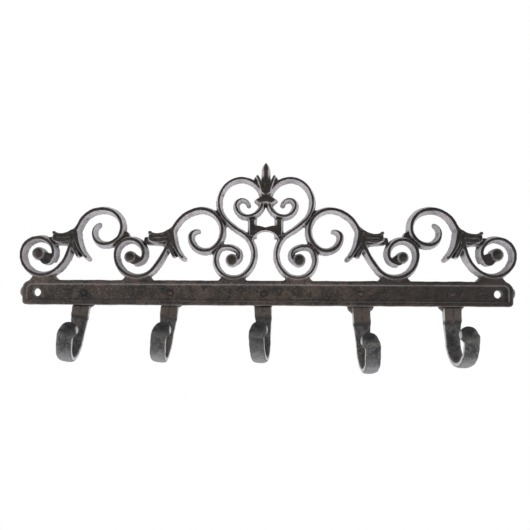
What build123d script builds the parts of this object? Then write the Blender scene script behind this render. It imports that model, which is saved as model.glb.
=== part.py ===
from build123d import *
from math import atan2, degrees
import os

os.makedirs("parts", exist_ok=True)

# A cast-iron coat rack for a wall: a long rail with scrollwork standing on it, and
# five separate J hooks riveted behind the rail. Millimetres. X runs along the rail,
# Z points up, and the front looks towards -Y. The origin is midway between the two
# screw holes, on the flat back of the rail.

# Rail
rail_length = 422.0
rail_height = 21.5
rail_depth = 6.0
rim_width = 3.2
rim_rise = 1.8
rim_slope = 20.0
rail_top_corner = 8.5
rail_bottom_corner = 3.0
nib_reach = 2.4
nib_height = 10.0
nib_level = 0.5
nib_root = 1.0

# Screw holes
screw_inset = 12.0
screw_hole = 7.0

# Scroll bars, which narrow from the flat back to a thin front land
bar_width = 7.0
bar_land = 2.6
middle_bar_width = 6.4
tip_width = 4.8
crest_depth = 7.5
web_depth = 5.4
foot_depth = 6.2
foot_flare = 3.6
foot_top = 14.8

# Posts and bridge between the two middle scrolls
post_middle = 11.6
post_width = 8.4
post_bottom = 47.0
post_top = 65.0
bridge_level = 57.8
bridge_dip = 1.4
bridge_thickness = 4.4
bridge_haunch_drop = 1.5

# Leaves at each crossing of the vine
leaf_rib_width = 3.6
leaf_tip_width = 3.0
leaf_depth = 6.6
leaf_web_depth = 5.4
crossing_step = 83.4

# Finial
finial_tip = 113.5
finial_shoulder = 105.0
finial_foot = 75.0
finial_bud_width = 8.2
finial_bud_foot_width = 4.9
finial_leaf_width = 6.2
finial_leaf_tip = 4.4
finial_waist_width = 9.6
finial_collar_width = 21.0
finial_collar_level = 79.6
finial_collar_height = 10.0
finial_collar_edge = 2.0
finial_foot_width = 11.6
finial_foot_rise = 1.0
finial_depth = 8.6
finial_slope = 12.0
finial_vein_width = 1.3
finial_vein_rise = 0.6
finial_vein_root = 1.8
finial_vein_spread = 6.6
finial_vein_drop = 5.5

# Hooks, in order from the left end. They were riveted by hand, so each one sits and leans
# a little differently
end_hook_inset = 51.0
hook_shifts = [0.5, -2.0, -2.0, 2.5, 1.0]
rivet_shifts = [2.5, -2.0, -1.0, 2.0, -0.5]
hook_drops = [0.5, 0.5, 0.0, 5.0, 3.0]
hook_extra_lengths = [0.0, 0.0, 0.0, 3.5, 0.0]
hook_tilts = [9.0, 6.8, -1.4, -4.0, -2.3]
hook_twists = [8.0, 2.7, -8.0, 0.0, 0.0]
pad_width = 23.5
pad_margin = 4.3
pad_depth = 4.5
pad_corner = 6.0
pad_overhang = 0.5
neck_width = 15.0
neck_height = 9.5
neck_proud = 3.0
shank_width = 12.5
shank_thickness = 6.0
hook_reach = 40.0
bend_level = 36.0
knob_level = 31.0
knob_size = 12.0
knob_width = 13.0

# Rivets, with a low front head and a back head sunk flush in the pad
rivet_size = 5.0
rivet_head = 6.4
rivet_head_rise = 0.6
rivet_back_head = 8.0
rivet_back_depth = 1.5
rivet_clearance = 0.1
seat_clearance = 0.2

# Worked out from the sizes above
draft = degrees(atan2((bar_width - bar_land) / 2, crest_depth))
rail_top = rail_height / 2
panel_front = rail_depth - rim_rise
rim_middle = rail_top - rim_width / 2
bridge_arch_top = bridge_level - bridge_thickness
bridge_haunch = post_bottom - bridge_haunch_drop
half_rail = rail_length / 2
screw_reach = half_rail - screw_inset
hook_pitch = (rail_length - 2 * end_hook_inset) / 4
level_spots = [step * hook_pitch for step in (-2, -1, 0, 1, 2)]
hook_spots = [spot + shift for spot, shift in zip(level_spots, hook_shifts)]
rivet_spots = [spot + shift for spot, shift in zip(level_spots, rivet_shifts)]

# Each scroll bar is a start point, a heading in degrees and a run of tangent arcs,
# each a radius and a turn, positive to the left. They are the right half's bars.
outer_vine = ((186.4, 27.7), 135, [
    (10, -65), (13.5, -75), (15, -90), (17.5, -110), (30, -50),
    (105, 15), (21.5, 80), (15, 165), (9.5, 140)])
inner_vine = ((113.7, 26.2), 190, [
    (7.5, -95), (12, -115), (13, -60), (18.5, -150), (80, -25),
    (29, 60), (18.5, 160), (12.5, 120), (5.5, 105)])
middle_scroll = ((25.3, 27.4), 150, [
    (6, -115), (14.5, -50), (6, -40), (15.5, -160), (21.5, -100), (23, -15),
    (65, 15), (21.5, 90), (18.5, 140), (13.5, 80), (10, 85), (5.5, 180)])

# The thick eyes at the heart of the lower spirals: centre and width
scroll_eyes = [
    ((196.0, 33.2), 11.6),
    ((189.8, 29.2), 10.8),
    ((116.6, 30.6), 10.4),
    ((113.2, 28.6), 9.4),
    ((28.8, 28.0), 11.4),
]

# Tail and leaves of the inner crossing; the outer crossing repeats them one step out
tail = ((80.2, 54.0), 268, [(60, -10), (26, -38)])
upper_lobe = ((80.0, 55.8), -50, [(18, 48), (12, 36)])
middle_lobe = ((82.0, 47.5), -2, [(90, 8), (40, 8)])
lower_lobe = ((84.0, 43.2), 2, [(90, 6), (30, 10)])
short_leaf = ((84.5, 46.0), 255, [(80, -6), (80, -6)])

# Side leaf of the finial
finial_leaf = ((2.6, 84.0), 86, [(34, -14), (24, -20)])


def along(start, heading, turns):
    """Where a run of tangent arcs goes: the arcs, each with its true start."""
    spot = Vector(*start)
    direction = Vector(1, 0).rotate(Axis.Z, heading)
    arcs = []
    for radius, turn in turns:
        arc = JernArc(spot, direction, radius, turn, mode=Mode.PRIVATE)
        arcs.append(arc)
        spot, direction = arc @ 1, arc % 1
    return arcs


def bar_outline(bar, width, end_width, round_tip=True):
    """Outline of one scroll bar at the back; its last arc narrows to the tip."""
    arcs = along(*bar)
    last = arcs[-1]
    with BuildSketch(Plane.XZ) as outline:
        if len(arcs) > 1:
            with BuildLine() as middle:
                add(arcs[:-1])
            trace(middle.line, line_width=width)
        with BuildLine():
            sides = []
            for across in (90, -90):
                near = last @ 0 + (last % 0).rotate(Axis.Z, across) * (width / 2)
                far = last @ 1 + (last % 1).rotate(Axis.Z, across) * (end_width / 2)
                sides.append(TangentArc(near, far, tangent=last % 0))
            if round_tip:
                tip = last @ 1 + (last % 1) * (end_width / 2)
                ThreePointArc(sides[0] @ 1, tip, sides[1] @ 1)
            else:
                Line(sides[0] @ 1, sides[1] @ 1)
            Line(sides[0] @ 0, sides[1] @ 0)
        make_face()
    return outline.sketch


def patch(points):
    """Outline of a thin web between bars."""
    with BuildSketch(Plane.XZ) as outline:
        with BuildLine():
            Polyline(*points, close=True)
        make_face()
    return outline.sketch


def shifted(bar, step):
    """The same bar, one crossing further out."""
    (x, z), heading, turns = bar
    return ((x + step, z), heading, turns)


def rail_outline():
    """Front outline of the rail, with wide corners at the top and small ones below."""
    with BuildSketch(Plane.XZ) as outline:
        Rectangle(rail_length, rail_height)
        fillet(outline.vertices().group_by(Axis.Y)[-1], rail_top_corner)
        fillet(outline.vertices().group_by(Axis.Y)[0], rail_bottom_corner)
    return outline.sketch


def nib_outline():
    """The little pointed nibs on the rail's two ends."""
    with BuildSketch(Plane.XZ) as outline:
        for side in (1, -1):
            with BuildLine():
                Polyline(
                    (side * (half_rail - nib_root), nib_level + nib_height / 2),
                    (side * (half_rail + nib_reach), nib_level),
                    (side * (half_rail - nib_root), nib_level - nib_height / 2),
                    close=True)
            make_face()
    return outline.sketch


def finial_bud():
    """Front outline of the finial's pointed bud."""
    half = finial_bud_width / 2
    foot = finial_collar_level
    with BuildSketch(Plane.XZ) as outline:
        with BuildLine():
            TangentArc((half, finial_shoulder), (0, finial_tip), tangent=(0, 1))
            side = TangentArc((half, finial_shoulder), (finial_bud_foot_width / 2, foot), tangent=(0, -1))
            Polyline(side @ 1, (0, foot), (0, finial_tip))
        make_face()
        mirror(about=Plane.YZ)
    return outline.sketch


def finial_collar():
    """Front outline of the finial's collar, a band that comes to a blunt point on each side."""
    point = finial_collar_width / 2
    waist = finial_waist_width / 2
    top = finial_collar_level + finial_collar_height / 2
    with BuildSketch(Plane.XZ) as outline:
        with BuildLine():
            Polyline(
                (0, top),
                (waist, top),
                (point, finial_collar_level + finial_collar_edge / 2),
                (point, finial_collar_level - finial_collar_edge / 2),
                (finial_foot_width / 2, finial_foot),
                (0, finial_foot + finial_foot_rise),
                close=True)
        make_face()
        mirror(about=Plane.YZ)
    return outline.sketch


def finial_veins():
    """Raised veins of the finial: one up the bud and one up each side leaf."""
    low = finial_collar_level + finial_collar_height / 2
    high = finial_shoulder - finial_vein_drop
    with BuildSketch(Plane.XZ) as veins:
        with BuildLine() as lines:
            Line((0, low), (0, finial_shoulder))
            for side in (1, -1):
                Line((side * finial_vein_root, low), (side * finial_vein_spread, high))
        trace(lines.line, line_width=finial_vein_width)
    return veins.sketch


# Thin webs that tie neighbouring bars together, on the right half
webs = [
    [(122.1, 54.1), (118.2, 51.8), (117.2, 47.7), (122.1, 42.1), (129.0, 36.9),
     (133.2, 40.3), (127.2, 44.6)],
    [(50.0, 72.0), (43.0, 71.5), (38.5, 69.0), (32.5, 59.5), (35.0, 56.5),
     (38.4, 55.5), (39.5, 60.5), (43.0, 66.5)],
    [(38.9, 43.0), (36.3, 40.1), (40.6, 37.0), (44.4, 31.5), (47.4, 34.9), (43.2, 39.2)],
]
leaf_web = [(81.0, 53.0), (91.5, 49.8), (98.5, 48.5), (104.5, 48.0), (105.5, 44.5),
            (102.0, 41.5), (86.5, 40.5)]
short_leaf_web = [(87.0, 47.0), (86.0, 37.5), (80.0, 33.5), (76.8, 36.5), (80.5, 48.0)]

# The flared feet that stand each lower ring on the rail: left and right side
feet = [(180.0, 204.5), (96.5, 124.0), (16.0, 40.5)]


with BuildPart() as rack_casting:
    # The right half of the crest: bars, eyes, leaves, webs and feet
    for bar, width in ((outer_vine, bar_width), (inner_vine, bar_width), (middle_scroll, middle_bar_width)):
        extrude(bar_outline(bar, width, tip_width), amount=crest_depth, taper=draft)
    for (x, z), eye_width in scroll_eyes:
        with BuildSketch(Plane.XZ) as eye:
            with Locations((x, z)):
                Circle(eye_width / 2)
        extrude(amount=crest_depth)
    for step in (0, crossing_step):
        extrude(bar_outline(shifted(tail, step), bar_width, tip_width), amount=crest_depth, taper=draft)
        for lobe in (upper_lobe, middle_lobe, lower_lobe, short_leaf):
            outline = bar_outline(shifted(lobe, step), leaf_rib_width, leaf_tip_width, round_tip=False)
            extrude(outline, amount=leaf_depth)
        for web in (leaf_web, short_leaf_web):
            extrude(patch([(x + step, z) for x, z in web]), amount=leaf_web_depth)
    for web in webs:
        extrude(patch(web), amount=web_depth)
    for left, right in feet:
        foot = [
            (left, rim_middle), (left, rail_top), (left + foot_flare, foot_top),
            (right - foot_flare, foot_top), (right, rail_top), (right, rim_middle)]
        extrude(patch(foot), amount=foot_depth)
    extrude(
        bar_outline(finial_leaf, finial_leaf_width, finial_leaf_tip),
        amount=finial_depth, taper=finial_slope)
    with BuildSketch(Plane.XZ) as post:
        with Locations((post_middle, (post_top + post_bottom) / 2)):
            Rectangle(post_width, post_top - post_bottom)
    extrude(amount=crest_depth, taper=draft)
    mirror(about=Plane.YZ)

    # Bridge between the posts, with its dipped top and arched underside
    with BuildSketch(Plane.XZ) as bridge:
        with BuildLine():
            ThreePointArc(
                (-post_middle, bridge_level), (-post_middle / 2, bridge_level), (0, bridge_level - bridge_dip))
            ThreePointArc(
                (0, bridge_level - bridge_dip), (post_middle / 2, bridge_level), (post_middle, bridge_level))
            Line((post_middle, bridge_level), (post_middle, bridge_haunch))
            ThreePointArc(
                (post_middle, bridge_haunch), (0, bridge_arch_top), (-post_middle, bridge_haunch))
            Line((-post_middle, bridge_haunch), (-post_middle, bridge_level))
        make_face()
    extrude(amount=crest_depth)

    # Finial: a pointed bud between two side leaves, a waist and a pointed collar
    for outline in (finial_bud(), finial_collar()):
        extrude(outline, amount=finial_depth, taper=finial_slope)
    extrude(finial_veins(), amount=finial_depth + finial_vein_rise)

    # Rail with its raised rim
    extrude(rail_outline(), amount=rail_depth)
    extrude(nib_outline(), amount=rail_depth - rim_rise)
    with BuildSketch(Plane.XZ.offset(rail_depth)) as panel:
        add(rail_outline())
        offset(amount=-rim_width, mode=Mode.REPLACE)
    extrude(amount=-rim_rise, taper=rim_slope, mode=Mode.SUBTRACT)

    # Screw holes and rivet bores through the rail
    with BuildSketch(Plane.XZ):
        with Locations((-screw_reach, 0), (screw_reach, 0)):
            Circle(screw_hole / 2)
        with Locations(*[(spot, 0) for spot in rivet_spots]):
            Circle(rivet_size / 2 + rivet_clearance)
    extrude(amount=rail_depth, mode=Mode.SUBTRACT)

rack_casting.part.label = "rack_casting"
export_step(rack_casting.part, "parts/rack_casting.step")


def cut_rivet_bore(spot):
    """Bore for one rivet through a pad, with the seat that its back head fills."""
    with BuildSketch(Plane.XZ) as bore:
        with Locations((spot, 0)):
            Circle(rivet_size / 2 + rivet_clearance)
    extrude(bore.sketch, amount=-pad_depth, mode=Mode.SUBTRACT)
    with BuildSketch(Plane.XZ.offset(-pad_depth)) as seat:
        with Locations((spot, 0)):
            Circle(rivet_back_head / 2 + rivet_clearance)
    extrude(seat.sketch, amount=rivet_back_depth, mode=Mode.SUBTRACT)


def make_hook(spot, rivet_spot, drop, extra_length, tilt, twist):
    """One J hook: a pad behind the rail, a stout neck, a round bend and a knob on its tip."""
    low = bend_level + extra_length
    tip = knob_level + extra_length
    shank_line = pad_depth - shank_thickness / 2
    pad_bottom = -rail_top - pad_overhang
    pad_top = drop + rivet_back_head / 2 + pad_margin
    stance = Location((spot, 0, -drop), (0, tilt, 0))
    turn = Location((0, shank_line, 0), (0, 0, twist)) * Location((0, -shank_line, 0))
    side_plane = Plane(stance * turn * Plane.YZ.location)
    front_plane = Plane(stance * Plane.XZ.location)
    neck_front = -neck_proud
    knob_line = shank_line - hook_reach

    with BuildPart() as hook:
        with BuildSketch(side_plane):
            with BuildLine() as middle:
                shank = Line((shank_line, pad_bottom), (shank_line, -low))
                bend = JernArc(shank @ 1, shank % 1, hook_reach / 2, -180)
                Line(bend @ 1, (knob_line, -tip))
            trace(middle.line, line_width=shank_thickness)
        extrude(amount=shank_width / 2, both=True)
        with BuildSketch(side_plane):
            with Locations((knob_line, -tip)):
                Circle(knob_size / 2)
        extrude(amount=knob_width / 2, both=True)
        with BuildSketch(side_plane):
            with BuildLine():
                Polyline(
                    (pad_depth, 0),
                    (neck_front, 0),
                    (neck_front, pad_bottom - neck_height),
                    (pad_depth, pad_bottom - neck_height - neck_proud),
                    close=True)
            make_face()
        extrude(amount=neck_width / 2, both=True)

        # The pad lies flat behind the rail, and the neck is dressed to clear the rail
        with BuildSketch(front_plane):
            with Locations((0, (pad_top + pad_bottom) / 2)):
                pad = Rectangle(pad_width, pad_top - pad_bottom)
            fillet(pad.vertices().group_by(Axis.Y)[0], pad_corner)
        extrude(amount=-pad_depth)
        with BuildSketch(Plane.XZ):
            Rectangle(rail_length, rail_height + 2 * seat_clearance)
        extrude(amount=rail_depth, mode=Mode.SUBTRACT)
        split(bisect_by=Plane.XZ.offset(-pad_depth))
        cut_rivet_bore(rivet_spot)
    return hook


placings = zip(hook_spots, rivet_spots, hook_drops, hook_extra_lengths, hook_tilts, hook_twists)
for number, placing in enumerate(placings, start=1):
    hook = make_hook(*placing)
    hook.part.label = f"hook_{number}"
    export_step(hook.part, f"parts/hook_{number}.step")
    print(f"hook_{number}: sound {hook.part.is_valid}, {hook.part.volume / 1000:.1f} cm3")


with BuildPart() as one_rivet:
    with BuildSketch(Plane.XY) as half_profile:
        with BuildLine():
            Polyline(
                (0, -panel_front - rivet_head_rise),
                (rivet_head / 2, -panel_front - rivet_head_rise),
                (rivet_head / 2, -panel_front),
                (rivet_size / 2, -panel_front),
                (rivet_size / 2, pad_depth - rivet_back_depth),
                (rivet_back_head / 2, pad_depth - rivet_back_depth),
                (rivet_back_head / 2, pad_depth),
                (0, pad_depth),
                close=True)
        make_face()
    revolve(axis=Axis.Y)

with BuildPart() as rivets:
    with Locations(*[(spot, 0, 0) for spot in rivet_spots]):
        add(one_rivet.part)

rivets.part.label = "rivets"
export_step(rivets.part, "parts/rivets.step")
print(f"rack_casting: sound {rack_casting.part.is_valid}, {rack_casting.part.volume / 1000:.1f} cm3")
print(f"rivets: {len(rivets.part.solids())} of them, sound {rivets.part.is_valid}")
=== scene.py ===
# %% [markdown]
# A cast-iron coat rack
#
# The rack is a long rail with a raised rim. Running scrollwork stands on the rail, and five J
# hooks are riveted behind it. The solids were drawn in CAD, so their places and sizes are
# already right. What is left is what a foundry gives: rounded edges, small soft forms such as
# the leaves' ribs and the hooks' knobs, a skin that shows the sand of the mould, and a dark
# finish that has worn along the edges.
#
# The frame is in metres. X runs along the rail, Z points up, and the front looks towards -Y.
# The origin lies midway between the screw holes, on the rail's flat back. Small forms are
# written in millimetres, and MM turns them into metres where they reach the mesh.

import bmesh
import bpy
from math import copysign, pi, radians
from mathutils import Matrix, Vector


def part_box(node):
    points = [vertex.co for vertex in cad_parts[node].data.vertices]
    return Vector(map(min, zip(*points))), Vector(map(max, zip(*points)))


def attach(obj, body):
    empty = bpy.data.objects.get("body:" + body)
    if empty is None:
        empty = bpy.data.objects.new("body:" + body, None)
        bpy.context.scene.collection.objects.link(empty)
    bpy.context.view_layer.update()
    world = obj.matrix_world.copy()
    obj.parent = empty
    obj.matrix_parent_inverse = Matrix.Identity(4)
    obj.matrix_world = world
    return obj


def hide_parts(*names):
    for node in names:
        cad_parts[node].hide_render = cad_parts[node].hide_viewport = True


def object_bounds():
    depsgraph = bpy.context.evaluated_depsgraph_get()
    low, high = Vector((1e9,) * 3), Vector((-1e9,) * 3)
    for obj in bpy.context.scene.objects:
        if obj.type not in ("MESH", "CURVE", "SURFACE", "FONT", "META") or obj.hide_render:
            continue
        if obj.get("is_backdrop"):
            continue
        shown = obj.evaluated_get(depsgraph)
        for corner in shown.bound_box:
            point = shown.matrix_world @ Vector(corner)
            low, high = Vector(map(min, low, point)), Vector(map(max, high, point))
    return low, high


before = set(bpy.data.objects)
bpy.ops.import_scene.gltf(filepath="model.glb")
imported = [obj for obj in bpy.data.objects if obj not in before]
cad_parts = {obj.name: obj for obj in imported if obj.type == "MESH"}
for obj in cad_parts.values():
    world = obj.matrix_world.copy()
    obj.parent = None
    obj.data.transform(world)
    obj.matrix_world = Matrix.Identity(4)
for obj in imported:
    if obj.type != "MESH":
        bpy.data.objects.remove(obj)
cad_box = [list(corner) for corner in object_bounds()]
print("nodes:", sorted(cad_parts))

# %% Names and sizes
MM = 0.001
hook_names = [f"hook_{number}" for number in range(1, 6)]
merge_distance = 0.001 * MM

for name in ["rack_casting"] + hook_names:
    low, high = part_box(name)
    size = [round((high[axis] - low[axis]) / MM, 1) for axis in range(3)]
    print(name, "size in mm:", size)

# %% [markdown]
# From sharp solids to castings
#
# A sand casting has no sharp edge: the sand can't hold one, and the foundry knocks off what
# is left. A bevel on every edge would give that, but the scrollwork has hundreds of short
# edges where bars run into each other, and a bevel breaks down there. A voxel remesh wraps
# the whole solid in one even skin instead, like pouring it again, and a smoothing pass then
# rounds every edge by about the same amount, in corners too. Two cloud textures push the
# skin in and out by a fraction of a millimetre, as rammed sand does.

# %% A casting from a node of the frame
unevenness = 0.6 * MM
mould_unevenness = bpy.data.textures.new("mould unevenness", "CLOUDS")
mould_unevenness.noise_scale = 7 * MM
mould_unevenness.noise_depth = 2
slow_unevenness = bpy.data.textures.new("slow unevenness", "CLOUDS")
slow_unevenness.noise_scale = 26 * MM
print("skin moves by up to", unevenness / MM / 2, "mm for each of 2 textures")


def casting_copy(node_name, title):
    """A copy of a node's mesh with its loose triangles joined, as an object of its own."""
    shape = bmesh.new()
    shape.from_mesh(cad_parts[node_name].data)
    bmesh.ops.remove_doubles(shape, verts=shape.verts, dist=merge_distance)
    mesh = bpy.data.meshes.new(title)
    shape.to_mesh(mesh)
    shape.free()
    copy = bpy.data.objects.new(title, mesh)
    bpy.context.collection.objects.link(copy)
    return copy


def settle(piece):
    """Swaps a piece's modifiers for the mesh that they make."""
    ready = piece.evaluated_get(bpy.context.evaluated_depsgraph_get())
    mesh = bpy.data.meshes.new_from_object(ready)
    piece.modifiers.clear()
    piece.data = mesh


def wrap(piece, skin, rounds):
    """Wraps a piece in an even skin and rounds its edges by smoothing."""
    remesh = piece.modifiers.new("even skin", "REMESH")
    remesh.mode = "VOXEL"
    remesh.voxel_size = skin
    remesh.use_smooth_shade = True
    smooth = piece.modifiers.new("rounded edges", "SMOOTH")
    smooth.factor = 0.5
    smooth.iterations = rounds


def pour(piece, skin, rounds, keep=1.0):
    """Wraps a piece, makes its skin a little uneven, thins its faces and settles it."""
    wrap(piece, skin, rounds)
    for texture in (mould_unevenness, slow_unevenness):
        wobble = piece.modifiers.new(texture.name, "DISPLACE")
        wobble.texture = texture
        wobble.texture_coords = "LOCAL"
        wobble.mid_level = 0.5
        wobble.strength = unevenness
    if keep < 1.0:
        thin = piece.modifiers.new("fewer faces", "DECIMATE")
        thin.ratio = keep
        thin.use_collapse_triangulate = True
    settle(piece)


def face_count(piece):
    """Triangles of a piece."""
    return sum(len(face.vertices) - 2 for face in piece.data.polygons)


# %% [markdown]
# The foundry's model had softer forms than the solids have: the eyes of the spirals are domed,
# the leaves are ribbed and curl up at their tips, and each hook ends in a round knob. They
# could be joined on with booleans, but those leave thin slivers where a ball grazes a bar.
# Here each is a plain closed shape pushed into the casting before it is poured, so the even
# skin joins it on, with no seam to hide.

# %% Balls that are cast on
def add_ball(shape, centre, radii, turn=Matrix()):
    """A stretched ball added to a shape, in millimetres, then carried along by a turn."""
    ball = bmesh.ops.create_uvsphere(shape, u_segments=24, v_segments=12, radius=MM)
    bmesh.ops.scale(shape, verts=ball["verts"], vec=radii)
    bmesh.ops.translate(shape, verts=ball["verts"], vec=Vector(centre) * MM)
    bmesh.ops.transform(shape, verts=ball["verts"], matrix=turn)


def cast_on(piece, add):
    """Opens a piece's mesh, lets a function add shapes to it, and closes it again."""
    shape = bmesh.new()
    shape.from_mesh(piece.data)
    add(shape)
    shape.to_mesh(piece.data)
    shape.free()


# %% [markdown]
# A leaf's rib is a ridge that follows a curve and gets thinner. It could be a bevelled curve,
# but a row of small overlapping balls needs no caps and no care where ribs meet, because the
# skin wraps them all. One leaf pair is made once, in a small mesh of its own, and then copied
# to its four crossings: adding balls one by one to the large casting would take minutes.

# %% One pair of leaves
leaf_ribs = [
    [(84.0, 53.5), (90.5, 48.6), (100.0, 51.2)],
    [(85.0, 49.0), (92.0, 47.2), (100.5, 48.4)],
    [(86.0, 45.4), (92.0, 43.6), (99.5, 45.0)],
    [(85.5, 50.0), (83.8, 38.0), (79.2, 31.6)],
    [(82.5, 52.0), (80.0, 38.0), (72.0, 30.0)],
]
rib_front = 6.9
rib_thick = 2.2
rib_thin = 1.5
rib_balls = 24
leaf_curls = [(99.6, 51.6), (99.4, 46.2), (71.6, 30.6)]
curl_radii = (1.9, 1.5, 1.7)
curl_set_back = 0.3


def along_curve(points, share):
    """A point on the curve from the first point to the third that bends towards the second."""
    start, pull, end = (Vector(point) for point in points)
    return start * (1 - share) ** 2 + pull * 2 * share * (1 - share) + end * share ** 2


def add_rib(shape, points, front):
    """A ridge along a curve, as a row of balls that get smaller."""
    for step in range(rib_balls + 1):
        share = step / rib_balls
        place = along_curve(points, share)
        reach = (rib_thick + (rib_thin - rib_thick) * share) / 2 * MM
        ball = bmesh.ops.create_icosphere(shape, subdivisions=1, radius=reach)
        bmesh.ops.translate(shape, verts=ball["verts"], vec=Vector((place.x, -front, place.y)) * MM)


leaf_shape = bmesh.new()
for points in leaf_ribs:
    add_rib(leaf_shape, points, rib_front)
for x, z in leaf_curls:
    add_ball(leaf_shape, (x, -rib_front + curl_set_back, z), curl_radii)
leaf_mesh = bpy.data.meshes.new("leaf ribs")
leaf_shape.to_mesh(leaf_mesh)
leaf_shape.free()
print("leaf ribs:", len(leaf_mesh.polygons), "faces")

# %% [markdown]
# The finial in the crest's middle is a bud between two ribs that curl outwards. It could be
# carved into the solid, but ribs of 2 mm melt into the bars beside them, so they are rows of
# balls too. One rib is mirrored for the other, and a flat ball is the heart of the bud.

# %% The finial's ribs
finial_rib = [(7.2, 100.4), (4.6, 95.5), (0.9, 89.5)]
finial_front = 7.3
heart_level = 96.5
heart_radii = (3.4, 1.4, 5.0)

finial_shape = bmesh.new()
add_rib(finial_shape, finial_rib, finial_front)
add_rib(finial_shape, [(-x, z) for x, z in finial_rib], finial_front)
add_ball(finial_shape, (0, -finial_front, heart_level), heart_radii)
finial_mesh = bpy.data.meshes.new("finial ribs")
finial_shape.to_mesh(finial_mesh)
finial_shape.free()
print("finial ribs:", len(finial_mesh.polygons), "faces")

# %% [markdown]
# Each lower spiral ends in a domed eye, and a nib stands at either end of the rail, where the
# iron ran in and was broken off. They could be turned like knobs, but seen from the front
# both are plain mounds, and a single stretched ball gives that. The rack's two halves are
# mirrored, so each is placed once and repeated on the other side.

# %% Eyes and end nibs on the rack
both_sides = (1, -1)
eyes = [(196.0, 33.2, 11.6), (116.6, 30.6, 10.4), (28.8, 28.0, 11.4)]
eye_front = 7.1
eye_rise = 2.6
eye_share = 0.47
nib_centre = 211.4
nib_level = 0.5
nib_radii = (2.1, 2.5, 4.4)
rail_middle = 3.0


def add_eyes(shape):
    """The domes on the spirals' eyes, each a little narrower than the flat eye below it."""
    for x, z, width in eyes:
        for side in both_sides:
            radii = (eye_share * width, eye_rise, eye_share * width)
            add_ball(shape, (side * x, -eye_front, z), radii)


def add_nibs(shape):
    """The broken-off runners at each end of the rail."""
    for side in both_sides:
        add_ball(shape, (side * nib_centre, -rail_middle, nib_level), nib_radii)


rack = casting_copy("rack_casting", "rack")
cast_on(rack, add_eyes)
cast_on(rack, add_nibs)
print("rack with eyes and nibs:", face_count(rack), "triangles")

# %% [markdown]
# The leaf pair stands at four crossings of the crest's bars. It could be four objects, but
# one casting has one skin, so the small mesh is copied into the rack's own. The pairs on the
# left are mirrored. A mirrored mesh is inside out, so its faces are flipped back.

# %% Leaves and finial on the rack
leaf_step = 83.4


def add_leaves(shape):
    """The leaf ribs, placed at the two crossings of each half of the crest."""
    for step in (0, leaf_step):
        for side in both_sides:
            placed = leaf_mesh.copy()
            placed.transform(Matrix.Diagonal((side, 1, 1, 1)) @ Matrix.Translation((step * MM, 0, 0)))
            if side < 0:
                placed.flip_normals()
            shape.from_mesh(placed)


cast_on(rack, add_leaves)
cast_on(rack, lambda shape: shape.from_mesh(finial_mesh))
print("rack with leaves and finial:", face_count(rack), "triangles")

# %% [markdown]
# The rack goes into the mould as one model, with all that was pushed into it. A coarse skin
# would be light, but it would close the groove beside the rim and melt the leaves' ribs. So
# the skin is made of cells of about 0.6 mm. That gives a flat back far more faces than it
# needs, and a decimate then takes over half of them away, mostly where the surface is flat.

# %% Pour the rack
rack_skin = 0.62 * MM
rack_rounds = 5
rack_keep = 0.42

pour(rack, rack_skin, rack_rounds, rack_keep)
print("rack:", face_count(rack), "triangles")

# %% [markdown]
# The hooks were bent by eye, so each leans and turns its own way. The bar was hammered to an
# oval and its tip to a ball. Smoothing alone would need so many rounds that the bar got thin,
# so each point of the skin is moved: towards the bar's middle line, by more the further it
# lies from the middle of the bar's width.

# %% An oval section
shank_half = 6.25
oval_half = 7.0
oval_power = 2.6
ball_power = 2
edge_limit = 0.97


def oval(x, half_width, power):
    """How thick an oval bar still is at a distance from its middle, as a share."""
    return (1 - min(abs(x) / half_width, edge_limit) ** power) ** 0.5


edge = oval(shank_half, oval_half, oval_power)
print("the bar's edge is", round(edge, 2), "as thick as its middle")

# %% [markdown]
# A hook has five stretches: the neck, which stays flat, then the shank, the bend, the bar that
# rises in front, and its round end. Each could be bent by a lattice, but a rule for each is
# shorter. The rules use the hook's own axes: X across the bar, Y from front to back, Z up.
# The ball at the tip sits a little towards the rack's middle, so it overhangs the bar on that
# side, and on its other side the bar narrows towards the ball.

# %% From a flat bar to an oval one
shank_line = 1.5
knob_line = -38.5
bend_radius = 20.0
bend_level = -36.0
knob_level = -31.0
knob_radii = (7.2, 6.3, 6.8)
knob_margin = 0.2
knob_shift = 2.3
knob_inset = 0.2
neck_foot = -21.2
taper_foot = -35.0
neck_half = 7.4


def hammered(place, longer, inwards):
    """The new place of a point of the flat bar, in millimetres on the hook's own axes."""
    x, y, z = place
    # The neck stays as it is.
    if z > neck_foot:
        return Vector((x, y, z))
    low = bend_level - longer
    tip = knob_level - longer
    middle_y = (shank_line + knob_line) / 2
    in_front = y < middle_y
    # The outer side of the bar narrows towards the ball.
    if in_front and x * inwards < 0:
        x *= 1 - knob_inset * min(1.0, max(0.0, (z - low) / (tip - low)))
    # The round end is drawn in under the ball.
    if in_front and z > tip:
        share = oval(x - inwards, knob_radii[0] + knob_margin, ball_power)
        return Vector((x, knob_line + (y - knob_line) * share, tip + (z - tip) * share))
    share = oval(x, oval_half, oval_power)
    # The bend is pressed towards the round line in its middle.
    if z < low:
        arm = Vector((y - middle_y, z - low))
        arm *= (bend_radius + (arm.length - bend_radius) * share) / arm.length
        return Vector((x, middle_y + arm.x, low + arm.y))
    # The bar in front is pressed towards its upright middle line.
    if in_front:
        return Vector((x, knob_line + (y - knob_line) * share, z))
    # The shank goes from the neck's width and flatness to the bar's.
    down = min(1.0, (neck_foot - z) / (neck_foot - taper_foot))
    thickness = 1 + (share - 1) * down
    half_width = neck_half + (shank_half - neck_half) * down
    wide = min(abs(x) * neck_half / shank_half, half_width)
    return Vector((copysign(wide, x), shank_line + (y - shank_line) * thickness, z))


def hammer(hook, stance, longer, inwards):
    """Makes a hook's bar oval, one point at a time."""
    home = stance.inverted()
    for vertex in hook.data.vertices:
        vertex.co = stance @ (hammered(home @ vertex.co / MM, longer, inwards) * MM)


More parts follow.
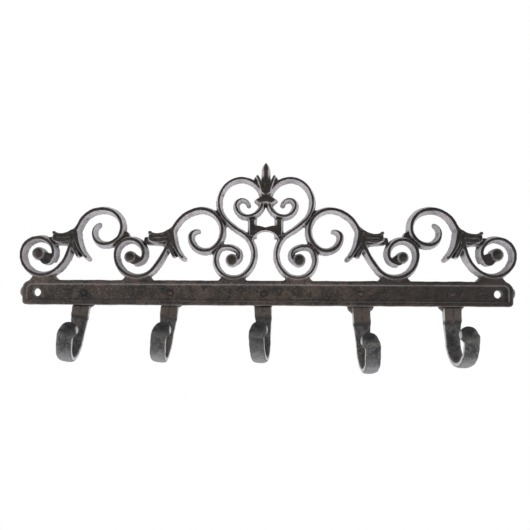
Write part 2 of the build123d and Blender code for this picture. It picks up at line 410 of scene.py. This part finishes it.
def store_places(hook, stance):
    """Stores each point's place on the hook's own axes, for the finish."""
    home = stance.inverted()
    places = hook.data.attributes.new("hook_place", "FLOAT_VECTOR", "POINT")
    for place, vertex in zip(places.data, hook.data.vertices):
        place.vector = home @ vertex.co


print("the neck stays flat down to", neck_foot, "mm, and the bend begins at", bend_level, "mm")

# %% [markdown]
# Five hooks from one pattern would be five copies of a mesh, but each node has its own lean,
# turn and length. So each is poured from its own node, and the same few numbers that place
# the node tell the hammer where the hook's axes are. The ball is cast on after the hammering,
# and a second skin joins it to the bar.

# %% Pour the hooks, each with its own stance
# Places and extra length in millimetres, lean and turn in degrees.
hook_stances = [
    {"x": -159.5, "z": -0.5, "lean": 9.0, "turn": 8.0, "longer": 0.0},
    {"x": -82.0, "z": -0.5, "lean": 6.8, "turn": 2.7, "longer": 0.0},
    {"x": -2.0, "z": 0.0, "lean": -1.4, "turn": -8.0, "longer": 0.0},
    {"x": 82.5, "z": -5.0, "lean": -4.0, "turn": 0.0, "longer": 3.5},
    {"x": 161.0, "z": -3.0, "lean": -2.3, "turn": 0.0, "longer": 0.0},
]
hook_skin = 0.6 * MM
first_rounds = 8
last_rounds = 14


def stance_matrix(x, z, lean, turn):
    """From a hook's own axes to the rack's: a turn about its shank, a lean and a place."""
    pivot = Matrix.Translation((0, shank_line * MM, 0))
    stance = Matrix.Translation((x * MM, 0, z * MM)) @ Matrix.Rotation(radians(lean), 4, "Y")
    return stance @ pivot @ Matrix.Rotation(radians(turn), 4, "Z") @ pivot.inverted()


def pour_hook(name, x, z, lean, turn, longer):
    """One hook: an oval bar with a ball at its tip that overhangs towards the rack's middle."""
    stance = stance_matrix(x, z, lean, turn)
    inwards = knob_shift if x < 0 else -knob_shift
    knob = (inwards, knob_line, knob_level - longer)
    hook = casting_copy(name, "j_" + name)
    wrap(hook, hook_skin, first_rounds)
    settle(hook)
    hammer(hook, stance, longer, inwards)
    cast_on(hook, lambda shape: add_ball(shape, knob, knob_radii, stance))
    pour(hook, hook_skin, last_rounds)
    store_places(hook, stance)
    return hook


hooks = []
for name, sizes in zip(hook_names, hook_stances):
    hooks.append(pour_hook(name, **sizes))
    print(name, "leans", sizes["lean"], "degrees and turns", sizes["turn"])

# %% [markdown]
# A rivet's front end was hammered over in the rail's panel: a low dome with a ring pressed in
# around it. It could be a stack of cylinders and a dome, but it is round all over, so its
# outline is spun once about its own axis, from the dome out to the flat back head.

# %% Rivets
rivet_places = [-157.5, -82.0, -1.0, 82.0, 159.5]
rivet_outline = [
    (0.0, -4.75), (1.2, -4.65), (1.9, -4.35), (2.3, -3.7), (2.7, -4.3), (3.2, -4.5), (3.2, -4.2),
    (2.5, -4.2), (2.5, 3.0), (4.0, 3.0), (4.0, 4.3), (3.8, 4.5), (0.0, 4.5)]
rivet_steps = 32


def add_rivet(shape, x):
    """One rivet, spun about the line that runs through it from front to back."""
    points = [shape.verts.new(((x + reach) * MM, depth * MM, 0)) for reach, depth in rivet_outline]
    edges = [shape.edges.new(pair) for pair in zip(points[:-1], points[1:])]
    bmesh.ops.spin(shape, geom=points + edges, cent=(x * MM, 0, 0), axis=(0, 1, 0),
                   angle=2 * pi, steps=rivet_steps, use_merge=True)


rivet_shape = bmesh.new()
for x in rivet_places:
    add_rivet(rivet_shape, x)
bmesh.ops.remove_doubles(rivet_shape, verts=rivet_shape.verts, dist=merge_distance)
bmesh.ops.recalc_face_normals(rivet_shape, faces=rivet_shape.faces)
rivet_mesh = bpy.data.meshes.new("rivet_heads")
rivet_shape.to_mesh(rivet_mesh)
rivet_shape.free()
rivet_mesh.shade_smooth()
rivet_heads = bpy.data.objects.new("rivet_heads", rivet_mesh)
bpy.context.collection.objects.link(rivet_heads)
print("rivets:", len(rivet_places), "with", face_count(rivet_heads), "triangles")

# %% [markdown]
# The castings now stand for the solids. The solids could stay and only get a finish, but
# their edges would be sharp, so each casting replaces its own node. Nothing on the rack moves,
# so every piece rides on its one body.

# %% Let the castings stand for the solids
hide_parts("rack_casting")
for name, hook in zip(hook_names, hooks):
    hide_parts(name)
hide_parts("rivets")
for piece in [rack, rivet_heads] + hooks:
    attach(piece, "root")
    print(piece.name, "triangles:", face_count(piece))

# %% [markdown]
# Old dark iron
#
# The finish is a thin brown-black coat over iron. Up close it is a mottle of reddish brown
# and greenish black, and where hands and dusters rub, the edges are paler. It could be one
# painted picture wrapped round each piece, but that needs an unwrapped mesh. The mottle comes
# from noise on Object coordinates instead, so it runs through the piece like the grain of the
# metal and never slides. The helpers below each add a node or two, so a finish reads as a
# list.

# %% Helpers for patterns and masks
def new_material(title):
    """A node material, its tree of nodes and its shader."""
    material = bpy.data.materials.new(title)
    material.use_nodes = True
    tree = material.node_tree
    return material, tree, tree.nodes["Principled BSDF"]


def own_place(tree):
    """The piece's own coordinates, from one node that all layers of a finish share."""
    node = tree.nodes.get("own place") or tree.nodes.new("ShaderNodeTexCoord")
    node.name = "own place"
    return node.outputs["Object"]


def split(tree, vector):
    """The X, Y and Z of a vector."""
    node = tree.nodes.new("ShaderNodeSeparateXYZ")
    tree.links.new(vector, node.inputs["Vector"])
    return node.outputs


def noise(tree, scale, detail, rough=0.55):
    """A noise pattern on the piece's own coordinates, finer where the scale is larger."""
    node = tree.nodes.new("ShaderNodeTexNoise")
    node.inputs["Scale"].default_value = scale
    node.inputs["Detail"].default_value = detail
    node.inputs["Roughness"].default_value = rough
    tree.links.new(own_place(tree), node.inputs["Vector"])
    return node.outputs["Fac"]


def ramp(tree, value, low, high):
    """A value stretched so that low gives 0 and high gives 1."""
    node = tree.nodes.new("ShaderNodeMapRange")
    node.inputs["From Min"].default_value = low
    node.inputs["From Max"].default_value = high
    node.interpolation_type = "SMOOTHSTEP"
    tree.links.new(value, node.inputs["Value"])
    return node.outputs["Result"]


def spots(tree, scale, detail, low, high, rough=0.55):
    """A mask of soft spots: noise stretched between two levels."""
    return ramp(tree, noise(tree, scale, detail, rough), low, high)


# %% [markdown]
# Masks are combined by small sums, and a mask then says how much of one colour lies over
# another. Layers could be separate shaders that are mixed, but one shader with one colour is
# easier to bake and to change.

# %% Helpers for sums and blends
def calculate(tree, operation, first, second=0.0):
    """One sum on one or two values, each a number or another node's output."""
    node = tree.nodes.new("ShaderNodeMath")
    node.operation = operation
    for index, value in enumerate((first, second)):
        if isinstance(value, (int, float)):
            node.inputs[index].default_value = value
        else:
            tree.links.new(value, node.inputs[index])
    return node.outputs["Value"]


def times(tree, first, second):
    """Two values multiplied."""
    return calculate(tree, "MULTIPLY", first, second)


def plus(tree, first, second):
    """Two values added."""
    return calculate(tree, "ADD", first, second)


def lifted(tree, mask, lowest):
    """A mask that starts at a lowest value instead of 0 and still ends at 1."""
    return plus(tree, times(tree, mask, 1 - lowest), lowest)


def blend(tree, share, first, second):
    """Two colours mixed by a share. Each is a colour or another node's output."""
    node = tree.nodes.new("ShaderNodeMix")
    node.data_type = "RGBA"
    tree.links.new(share, node.inputs["Factor"])
    for socket, colour in (("A", first), ("B", second)):
        target = [s for s in node.inputs if s.name == socket and s.type == "RGBA"][0]
        if isinstance(colour, tuple):
            target.default_value = (*colour, 1.0)
        else:
            tree.links.new(colour, target)
    return [s for s in node.outputs if s.type == "RGBA"][0]


def lay(tree, colour, mask, strength, over):
    """Lays a colour over another where a mask is, at a strength."""
    return blend(tree, times(tree, mask, strength), colour, over)


# %% [markdown]
# The three finishes could each be built by themselves, but on the real rack they are close
# kin, so they share their layers. The first is the coat. Up close it is never one colour:
# broad patches, smaller stains and fine pits lie over each other, so three scales of noise do
# it, and a fourth gives the specks where the coat has gone.

# %% The mottled coat
patch_scale = 45
stain_scale = 110
pit_scale = 420
speck_scale = 520


def mottle(tree, base, warm, cool, worn):
    """The coat itself: patches of three colours, and specks where it has worn through."""
    patches = spots(tree, patch_scale, detail=3, low=0.42, high=0.60)
    stains = spots(tree, stain_scale, detail=5, low=0.46, high=0.62)
    pits = spots(tree, pit_scale, detail=5, low=0.50, high=0.36, rough=0.7)
    specks = spots(tree, speck_scale, detail=4, low=0.50, high=0.68, rough=0.65)
    colour = blend(tree, patches, base, warm)
    colour = lay(tree, colour, stains, strength=0.8, over=cool)
    colour = lay(tree, colour, pits, strength=0.85, over=cool)
    return lay(tree, colour, specks, strength=0.40, over=worn)


# %% [markdown]
# Hands rub the edges, and painted shade darkens the corners. Both could be painted by hand, but
# the crest has too many edges for that. Pointiness finds the edges: it is high where the skin is
# sharply convex. Ambient occlusion finds the sheltered places, which get the painted shade. How
# far the surface is turned along an axis tells a bar's front from its sides.

# %% Worn edges and painted shade in sheltered places
rub_scale = 300
shelter_samples = 8


def turned(tree, axis):
    """How far the surface is turned along an axis, from -1 to 1."""
    surface = tree.nodes.new("ShaderNodeNewGeometry")
    return split(tree, surface.outputs["Normal"])[axis]


def facing(tree, axis):
    """How far the surface faces along an axis, from 0 to 1 either way."""
    return calculate(tree, "ABSOLUTE", turned(tree, axis))


def worn_edges(tree, colour, worn, amount):
    """Convex edges rubbed through to a paler metal, in broken lines."""
    surface = tree.nodes.new("ShaderNodeNewGeometry")
    edges = ramp(tree, surface.outputs["Pointiness"], low=0.525, high=0.585)
    broken = spots(tree, rub_scale, detail=4, low=0.35, high=0.58)
    return lay(tree, colour, times(tree, edges, broken), strength=amount, over=worn)


def painted_corner_shade(tree, colour, shade_colour, reach):
    """Painted shade: darker in corners and grooves, where ambient occlusion finds the surface sheltered.
    """
    shelter = tree.nodes.new("ShaderNodeAmbientOcclusion")
    shelter.inputs["Distance"].default_value = reach
    shelter.only_local = True
    shelter.samples = shelter_samples
    # Painted shade: the colour darkens where the surface is sheltered.
    return blend(tree, ramp(tree, shelter.outputs["AO"], low=0.93, high=0.62), colour, shade_colour)


# %% [markdown]
# The grain of the sand could be modelled, but it would take millions of faces. Fine, middle
# and coarse noise together make a bump instead, and the same pits also change how rough the
# wax is, so that the highlights break up.

# %% The grain of the sand
lump_scale = 130
grain_scale = 1500
pit_share = 0.8
grain_share = 0.25
dull_wax = 0.32
bump_height = 1.0 * MM


def sand_grain(tree, shader, roughest, smoothest, strength):
    """Roughness and bump of a sand mould: fine grain, pits and slow lumps, under dull wax."""
    shader.inputs["Specular IOR Level"].default_value = dull_wax
    grain = noise(tree, grain_scale, detail=3, rough=0.7)
    pits = noise(tree, speck_scale, detail=4, rough=0.65)
    lumps = noise(tree, lump_scale, detail=2)
    rough = tree.nodes.new("ShaderNodeMapRange")
    rough.inputs["To Min"].default_value = roughest
    rough.inputs["To Max"].default_value = smoothest
    tree.links.new(pits, rough.inputs["Value"])
    tree.links.new(rough.outputs["Result"], shader.inputs["Roughness"])
    height = plus(tree, times(tree, pits, pit_share), lumps)
    height = plus(tree, height, times(tree, grain, grain_share))
    bump = tree.nodes.new("ShaderNodeBump")
    bump.inputs["Strength"].default_value = strength
    bump.inputs["Distance"].default_value = bump_height
    tree.links.new(height, bump.inputs["Height"])
    tree.links.new(bump.outputs["Normal"], shader.inputs["Normal"])


# %% [markdown]
# On the rack the lands that face the front are nearly black along the crest: the coat's own dark
# tone, deepened by painted shade. The slanted flanks get a painted reflection of the white
# backdrop, a pale lavender grey with some pale dust, tarnished in patches. The rail is browner,
# redder towards the left, and its rim has an inner edge that is rubbed and catches some painted
# reflection, beside a groove darkened by painted shade. Lands and flanks could be painted as
# separate faces, but the skin has no clear border between them. The way that the surface is
# turned gives a soft one.

# %% The rack's finish
crest_foot = 12.5 * MM
crest_start = 15.5 * MM
rail_centre = 0.0
rail_right = 180 * MM
blotch_scale = 160
tarnish_scale = 38
dullest_patch = 0.58
# How much of the painted flank reflection the rail keeps.
rail_flank_sheen = 0.35
rail_wear = 0.85
less_on_crest = 0.45
rack_coat = {"base": (0.044, 0.033, 0.028), "warm": (0.078, 0.053, 0.043),
             "cool": (0.011, 0.011, 0.009), "worn": (0.18, 0.155, 0.14)}
right_end_brown = (0.012, 0.008, 0.006)
# Partly the coat's own dark tone, partly painted shade on the lands that face the front.
land_tone_and_shade = (0.008, 0.007, 0.007)
# Painted reflection of the white backdrop on the bars' sides, with some pale dust.
flank_sheen_and_dust = (0.40, 0.38, 0.405)
rubbed_iron = (0.20, 0.18, 0.165)
# Painted shade for the groove beside the rim and the crest's corners.
groove_shade = (0.015, 0.015, 0.011)


def flank_sheen_mask(tree, front, crest):
    """Where painted reflection and some dust pale the bars' sides, in patches, at full strength on the
    crest alone.
    """
    blotches = spots(tree, blotch_scale, detail=4, low=0.12, high=0.50)
    tarnish = spots(tree, tarnish_scale, detail=3, low=0.30, high=0.56)
    # Painted reflection: stronger the further the surface turns away from the front.
    sides = ramp(tree, front, low=0.93, high=0.60)
    sides = times(tree, sides, times(tree, blotches, lifted(tree, tarnish, dullest_patch)))
    return times(tree, sides, lifted(tree, crest, rail_flank_sheen))


def rack_iron():
    """Antique brown iron, with painted shade on the crest's front lands and painted reflection on its
    flanks.
    """
    material, tree, shader = new_material("antique brown iron")
    spot = split(tree, own_place(tree))
    crest = ramp(tree, spot["Z"], crest_foot, crest_start)
    front = facing(tree, "Y")

    colour = mottle(tree, **rack_coat)
    right_end = ramp(tree, spot["X"], rail_centre, rail_right)
    colour = lay(tree, colour, right_end, strength=0.8, over=right_end_brown)
    # The coat's dark tone and painted shade on the lands that face the front.
    lands = times(tree, ramp(tree, front, low=0.80, high=0.97), crest)
    colour = lay(tree, colour, lands, strength=0.62, over=land_tone_and_shade)
    # Painted reflection of the white backdrop, with pale dust, on the sides of the bars.
    colour = blend(tree, flank_sheen_mask(tree, front, crest), colour, flank_sheen_and_dust)
    wear = calculate(tree, "SUBTRACT", rail_wear, times(tree, crest, less_on_crest))
    colour = worn_edges(tree, colour, rubbed_iron, wear)
    # Painted shade in the groove beside the rim and in the crest's corners.
    colour = painted_corner_shade(tree, colour, groove_shade, reach=3.5 * MM)
    tree.links.new(colour, shader.inputs["Base Color"])
    sand_grain(tree, shader, roughest=0.60, smoothest=0.38, strength=0.6)
    return material


rack_finish = rack_iron()
rack.data.materials.append(rack_finish)
print(rack_finish.name, "has", len(rack_finish.node_tree.nodes), "nodes")

# %% [markdown]
# A hook's slate-dark bar is browner on its neck. A dark line of painted shade crosses the foot
# of the neck, and another runs down its middle, where the two halves of the mould met. The thin
# flanks get a pale painted reflection of the white backdrop, the underside of the bend a pale
# painted light, and the knob painted shade. The marks could follow the rack's axes, but every
# hook leans its own way, so they read the places stored on each hook.

# %% The hooks' finish
neck_fade = 5.0 * MM
under_span = (-40 * MM, -50 * MM)
tip_span = (-38 * MM, -31 * MM)
ahead_span = (-28 * MM, -33 * MM)
step_reach = 3.2 * MM
parting_reach = 1.2 * MM
parting_strength = 0.6
hook_wear = 0.5
gap_scale = 260
hook_coat = {"base": (0.043, 0.041, 0.043), "warm": (0.078, 0.069, 0.063),
             "cool": (0.009, 0.009, 0.012), "worn": (0.18, 0.175, 0.17)}
neck_brown = (0.088, 0.066, 0.056)
# Painted light on the underside of the bend.
under_painted_light = (0.20, 0.20, 0.21)
# Painted shade on the knob.
knob_shade = (0.008, 0.008, 0.010)
# Painted reflection of the white backdrop on the thin sides of the bar.
side_sheen = (0.38, 0.38, 0.39)
# Painted shade for the step at the neck's foot and the parting line.
mould_line_shade = (0.006, 0.005, 0.005)
rubbed_slate = (0.16, 0.155, 0.15)
# Painted shade in the hook's sheltered corners.
corner_shade = (0.007, 0.007, 0.009)


def mould_line_shade_mask(tree, spot, neck):
    """Broken lines of painted shade: a step across the neck's foot and the parting line down its middle.
    """
    from_foot = calculate(tree, "ABSOLUTE", calculate(tree, "SUBTRACT", spot["Z"], neck_foot * MM))
    step = ramp(tree, from_foot, step_reach, 0.0)
    from_middle = calculate(tree, "ABSOLUTE", spot["X"])
    parting = times(tree, ramp(tree, from_middle, parting_reach, 0.0), neck)
    lines = calculate(tree, "MAXIMUM", step, times(tree, parting, parting_strength))
    return times(tree, lines, spots(tree, gap_scale, detail=3, low=0.30, high=0.50))


def hook_iron():
    """Slate iron with a brown neck, painted shade on its mould lines and knob, painted light under the
    bend and painted reflection on its sides.
    """
    material, tree, shader = new_material("slate iron")
    stored = tree.nodes.new("ShaderNodeAttribute")
    stored.attribute_name = "hook_place"
    spot = split(tree, stored.outputs["Vector"])
    foot = neck_foot * MM
    neck = ramp(tree, spot["Z"], foot - neck_fade, foot + neck_fade)
    bend = ramp(tree, spot["Z"], *under_span)
    below = ramp(tree, turned(tree, "Z"), low=-0.35, high=-0.95)
    tip = ramp(tree, spot["Z"], *tip_span)
    ahead = ramp(tree, spot["Y"], *ahead_span)

    colour = mottle(tree, **hook_coat)
    colour = lay(tree, colour, neck, strength=0.75, over=neck_brown)
    # Painted light where the bend faces down.
    colour = lay(tree, colour, times(tree, below, bend), strength=0.7, over=under_painted_light)
    # Painted shade on the knob.
    colour = lay(tree, colour, times(tree, tip, ahead), strength=0.92, over=knob_shade)
    # Painted reflection where the bar's thin sides face sideways.
    colour = blend(tree, ramp(tree, facing(tree, "X"), low=0.80, high=0.97), colour, side_sheen)
    # Painted shade along the step and the parting line.
    colour = lay(tree, colour, mould_line_shade_mask(tree, spot, neck), strength=0.95, over=mould_line_shade)
    colour = worn_edges(tree, colour, rubbed_slate, hook_wear)
    # Painted shade in the sheltered corners.
    colour = painted_corner_shade(tree, colour, corner_shade, reach=5 * MM)
    tree.links.new(colour, shader.inputs["Base Color"])
    sand_grain(tree, shader, roughest=0.62, smoothest=0.42, strength=0.7)
    return material


hook_finish = hook_iron()
for hook in hooks:
    hook.data.materials.append(hook_finish)
print(hook_finish.name, "has", len(hook_finish.node_tree.nodes), "nodes")

# %% [markdown]
# The rivets are brown iron like the rail, and they carry no painted pale flanks. They could wear
# the rack's own finish, but its bands are tied to the crest's height, so they get a plain coat
# of the same layers, with painted shade in the ring around each dome.

# %% The rivets' finish
rivet_coat = {"base": (0.045, 0.034, 0.029), "warm": (0.070, 0.052, 0.044),
              "cool": (0.008, 0.008, 0.008), "worn": (0.15, 0.132, 0.122)}
# Painted shade in the ring around each rivet dome.
ring_shade = (0.006, 0.006, 0.006)


def rivet_iron():
    """Plain brown iron, with painted shade in the ring around each dome."""
    material, tree, shader = new_material("rivet iron")
    colour = mottle(tree, **rivet_coat)
    # Painted shade in the ring around each dome.
    colour = painted_corner_shade(tree, colour, ring_shade, reach=2 * MM)
    tree.links.new(colour, shader.inputs["Base Color"])
    sand_grain(tree, shader, roughest=0.60, smoothest=0.40, strength=0.5)
    return material


rivet_finish = rivet_iron()
rivet_heads.data.materials.append(rivet_finish)
print(rivet_finish.name, "has", len(rivet_finish.node_tree.nodes), "nodes")

# %% [markdown]
# White surroundings
#
# The rack is photographed against plain white, close to the lens, from a little below the
# rail. White all round it does most of the lighting: dark iron shows its form by what it
# mirrors, and the slanted sides of the bars catch the bright backdrop at a flat angle, which
# is why they look paler than the front. Strong lamps could whiten the floor, but they would
# wash out the iron. So the floor, well below the rack, is white only to the camera and in
# mirror images, and pale paint where it lights the rack.

# %% Backdrop
floor_level = -0.30
floor_size = 8.0
floor_white = (0.86, 0.86, 0.86, 1.0)
bpy.ops.mesh.primitive_plane_add(size=floor_size, location=(0, 0, floor_level))
floor = bpy.context.object
floor.name = "floor"
floor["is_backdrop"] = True

floor_paint, tree, shader = new_material("pale floor")
shader.inputs["Base Color"].default_value = floor_white
shader.inputs["Roughness"].default_value = 0.9
seen = tree.nodes.new("ShaderNodeLightPath")
white = tree.nodes.new("ShaderNodeEmission")
mix = tree.nodes.new("ShaderNodeMixShader")
look = calculate(tree, "MAXIMUM", seen.outputs["Is Camera Ray"], seen.outputs["Is Glossy Ray"])
tree.links.new(look, mix.inputs["Fac"])
tree.links.new(shader.outputs["BSDF"], mix.inputs[1])
tree.links.new(white.outputs["Emission"], mix.inputs[2])
tree.links.new(mix.outputs["Shader"], tree.nodes["Material Output"].inputs["Surface"])
floor.data.materials.append(floor_paint)
print("floor at", floor_level, "m")

# %% [markdown]
# The world is a white tent. It could be as bright all round, but then the front of the iron
# would turn grey. So it is bright behind the rack and dim in front of it, and the camera
# alone sees it white everywhere.

# %% The white tent
room_level = 0.22
world = bpy.data.worlds.new("white tent")
bpy.context.scene.world = world
world.use_nodes = True
tree = world.node_tree
tent = tree.nodes["Background"]
tent.inputs["Color"].default_value = (1, 1, 1, 1)
direction = tree.nodes.new("ShaderNodeTexCoord")
behind = ramp(tree, split(tree, direction.outputs["Generated"])["Y"], low=-0.35, high=0.35)
light = lifted(tree, behind, room_level)
seen = tree.nodes.new("ShaderNodeLightPath")
light = calculate(tree, "MAXIMUM", light, seen.outputs["Is Camera Ray"])
tree.links.new(light, tent.inputs["Strength"])
print("world lights the rack with", room_level, "from the front and 1 from behind")

# %% [markdown]
# Four large soft lamps add what the white surroundings can't: a faint sheen on the bars'
# sides, the hooks' undersides and the rail's top. They could be one strong lamp, but that
# would throw hard shadows of the hooks.

# %% Soft lamps
# Places and sizes in metres, power in watts.
rack_middle = (0, 0, 0.02)
lamps = [
    {"title": "left lamp", "place": (-0.9, -0.15, -0.05), "size": 0.8, "power": 7},
    {"title": "right lamp", "place": (0.9, -0.15, -0.05), "size": 0.8, "power": 7},
    {"title": "low lamp", "place": (0, -0.10, -0.28), "size": 0.5, "power": 1.2},
    {"title": "top lamp", "place": (0, -0.10, 0.9), "size": 0.8, "power": 2},
]


def soft_lamp(title, place, size, power):
    """A large square lamp that looks from a place towards the rack's middle."""
    light = bpy.data.lights.new(title, "AREA")
    light.size = size
    light.energy = power
    lamp = bpy.data.objects.new(title, light)
    bpy.context.collection.objects.link(lamp)
    lamp.location = place
    aim = Vector(rack_middle) - Vector(place)
    lamp.rotation_euler = aim.to_track_quat("-Z", "Y").to_euler()


for lamp in lamps:
    soft_lamp(**lamp)
    print(lamp["title"], lamp["power"], "W")

# %% [markdown]
# The camera
#
# The rail's ends and the hooks show how near the lens is: the hooks spread outwards and their
# knobs look large. The camera stands level, slightly below the rail. It could be tilted up
# to centre the rack, but then upright lines would lean, so its picture is shifted instead.

# %% Camera
focal_length = 33.37
sensor_width = 36.0
picture_shift = (0.0153, 0.1132)
camera_place = (2.15, -427.5, -27.4)
camera_roll = 0.37
camera_turn = 1.24

lens = bpy.data.cameras.new("camera")
lens.lens = focal_length
lens.sensor_width = sensor_width
lens.shift_x, lens.shift_y = picture_shift
lens.clip_start = 0.01
camera = bpy.data.objects.new("camera", lens)
bpy.context.collection.objects.link(camera)
camera.location = [value * MM for value in camera_place]
camera.rotation_euler = (pi / 2, -radians(camera_roll), radians(camera_turn))
bpy.context.scene.camera = camera
bpy.context.scene.view_settings.view_transform = "Standard"
print("camera", -camera_place[1], "mm in front of the rail's back, lens", focal_length, "mm")

# %% [markdown]
# The castings must be as large as the solids. Their boxes are written side by side, so that a
# skin that grew or shrank too much shows at once.

# %% The sizes side by side
visual_box = [list(corner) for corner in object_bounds()]
for axis in range(3):
    cad_side = cad_box[1][axis] - cad_box[0][axis]
    side = visual_box[1][axis] - visual_box[0][axis]
    print("axis", "XYZ"[axis], "solids", round(cad_side / MM, 1), "mm, dressed", round(side / MM, 1), "mm")
